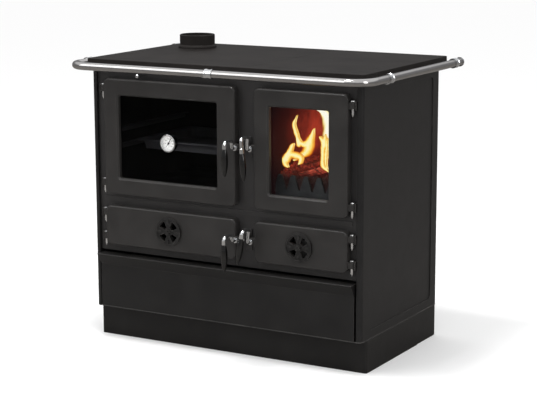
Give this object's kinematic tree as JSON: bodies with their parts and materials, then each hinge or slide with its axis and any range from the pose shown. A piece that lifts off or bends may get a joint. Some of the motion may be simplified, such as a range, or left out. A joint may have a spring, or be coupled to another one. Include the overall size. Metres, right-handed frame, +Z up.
{
  "type": "wood cookstove",
  "caption": "Free-standing wood-burning cooker with a glazed oven door, a glazed fire door, two small doors with air discs, a wood drawer, an iron hob with a flue collar and a towel rail.",
  "frame": {"origin": "on the floor, at the middle of the space that the whole cooker takes up, handles and rail included", "axes": "+X to the right seen from the front, along the width; +Y to the back; +Z up, along the flue collar"},
  "size_m": [1.0094, 0.657, 0.892],
  "materials": {
    "side_paint": "black heat-proof paint on folded sheet, fine grain",
    "front_paint": "black heat-proof paint on the cast front",
    "door_paint": "black paint on fine cast iron",
    "plinth_paint": "black paint on folded sheet, darker in shade",
    "edge_steel": "black paint with a worn bright edge",
    "hob_iron": "machined cast iron, blackened",
    "rail_steel": "polished stainless tube",
    "chrome": "bright chrome",
    "grip_black": "black moulded resin, semi-gloss",
    "zinc_steel": "zinc-plated steel",
    "inner_steel": "heat-proof grey-black enamel, a little sooty",
    "raw_steel": "rolled steel sheet",
    "fire_brick": "pressed vermiculite brick, sooted",
    "grate_iron": "rough cast iron, burnt",
    "pane": "clear ceramic glass",
    "seal": "black braided glass fibre",
    "dial_white": "white printed dial",
    "hand_black": "black hand"
  },
  "bodies": {
    "casing": {"plinth_front": "plinth_paint", "plinth_rear": "plinth_paint", "base_plate": "edge_steel", "side_panel_left": "side_paint", "side_panel_right": "side_paint", "back_panel": "side_paint", "front_frame": "front_paint", "drawer_deck": "inner_steel", "drawer_runners": "raw_steel", "oven_box": "inner_steel", "oven_runners": "raw_steel", "oven_tray": "inner_steel", "soot_box": "inner_steel", "firebox_shell": "inner_steel", "fire_bricks": "fire_brick", "fire_grate": "grate_iron", "fire_fence": "grate_iron", "ash_pan": "raw_steel", "flue_box": "raw_steel", "flue_collar": "hob_iron", "hob_frame": "hob_iron", "hob_plate_left": "hob_iron", "rail_front_left": "rail_steel", "rail_front_right": "rail_steel", "rail_side_left": "rail_steel", "rail_side_right": "rail_steel", "rail_brackets": "chrome", "rail_ends": "chrome", "hinge_brackets": "door_paint", "hinge_pins": "zinc_steel", "latch_keepers": "front_paint"},
    "oven_door_leaf": {"oven_door": "door_paint", "oven_glass": "pane", "oven_door_seal": "seal", "oven_glass_clips": "zinc_steel", "thermometer_case": "chrome", "thermometer_dial": "dial_white", "thermometer_lens": "pane"},
    "thermometer_hand": {"thermometer_pointer": "hand_black"},
    "fire_door_leaf": {"fire_door": "door_paint", "fire_glass": "pane", "fire_door_seal": "seal", "fire_glass_clips": "zinc_steel"},
    "soot_door_leaf": {"soot_door": "door_paint"},
    "ash_door_leaf": {"ash_door": "door_paint"},
    "soot_disc": {"soot_air_disc": "door_paint"},
    "ash_disc": {"ash_air_disc": "door_paint"},
    "damper": {"damper_rod": "chrome", "damper_plate": "raw_steel"},
    "drawer": {"drawer_front": "front_paint", "drawer_box": "raw_steel"},
    "hob_lid": {"hob_plate_right": "hob_iron"},
    "oven_handle": {"oven_handle_neck": "chrome", "oven_handle_grip": "grip_black"},
    "fire_handle": {"fire_handle_neck": "chrome", "fire_handle_grip": "grip_black"},
    "soot_handle": {"soot_handle_neck": "chrome", "soot_handle_grip": "grip_black"},
    "ash_handle": {"ash_handle_neck": "chrome", "ash_handle_grip": "grip_black"}
  },
  "joints": [
    {"name": "oven_door_hinge", "type": "hinge", "parent": "casing", "child": "oven_door_leaf", "pos_m": [-0.4065, -0.2465, 0.6215], "axis": [0, 0, -1], "range_deg": [0, 105]},
    {"name": "fire_door_hinge", "type": "hinge", "parent": "casing", "child": "fire_door_leaf", "pos_m": [0.4215, -0.2465, 0.6215], "axis": [0, 0, 1], "range_deg": [0, 105]},
    {"name": "soot_door_hinge", "type": "hinge", "parent": "casing", "child": "soot_door_leaf", "pos_m": [-0.4065, -0.2465, 0.3535], "axis": [0, 0, -1], "range_deg": [0, 105]},
    {"name": "ash_door_hinge", "type": "hinge", "parent": "casing", "child": "ash_door_leaf", "pos_m": [0.4215, -0.2465, 0.3535], "axis": [0, 0, 1], "range_deg": [0, 105]},
    {"name": "oven_handle_turn", "type": "hinge", "parent": "oven_door_leaf", "child": "oven_handle", "pos_m": [0.055, -0.2605, 0.6215], "axis": [0, 1, 0], "range_deg": [-12, 70]},
    {"name": "fire_handle_turn", "type": "hinge", "parent": "fire_door_leaf", "child": "fire_handle", "pos_m": [0.1045, -0.2605, 0.6215], "axis": [0, -1, 0], "range_deg": [-12, 70]},
    {"name": "soot_handle_turn", "type": "hinge", "parent": "soot_door_leaf", "child": "soot_handle", "pos_m": [0.055, -0.2605, 0.3535], "axis": [0, 1, 0], "range_deg": [-12, 70]},
    {"name": "ash_handle_turn", "type": "hinge", "parent": "ash_door_leaf", "child": "ash_handle", "pos_m": [0.1045, -0.2605, 0.3535], "axis": [0, -1, 0], "range_deg": [-12, 70]},
    {"name": "soot_disc_turn", "type": "hinge", "parent": "soot_door_leaf", "child": "soot_disc", "pos_m": [-0.174, -0.2605, 0.3535], "axis": [0, -1, 0], "range_deg": [0, 45]},
    {"name": "ash_disc_turn", "type": "hinge", "parent": "ash_door_leaf", "child": "ash_disc", "pos_m": [0.26175, -0.2605, 0.3535], "axis": [0, -1, 0], "range_deg": [0, 45]},
    {"name": "thermometer_turn", "type": "hinge", "parent": "oven_door_leaf", "child": "thermometer_hand", "pos_m": [-0.172, -0.2585, 0.616], "axis": [0, 1, 0], "range_deg": [-165, 105]},
    {"name": "damper_slide", "type": "slide", "parent": "casing", "child": "damper", "axis": [0, -1, 0], "range_m": [0, 0.06]},
    {"name": "drawer_slide", "type": "slide", "parent": "casing", "child": "drawer", "axis": [0, -1, 0], "range_m": [0, 0.35]},
    {"name": "hob_plate_lift", "type": "slide", "parent": "casing", "child": "hob_lid", "axis": [0, 0, 1], "range_m": [0, 0.06]}
  ]
}
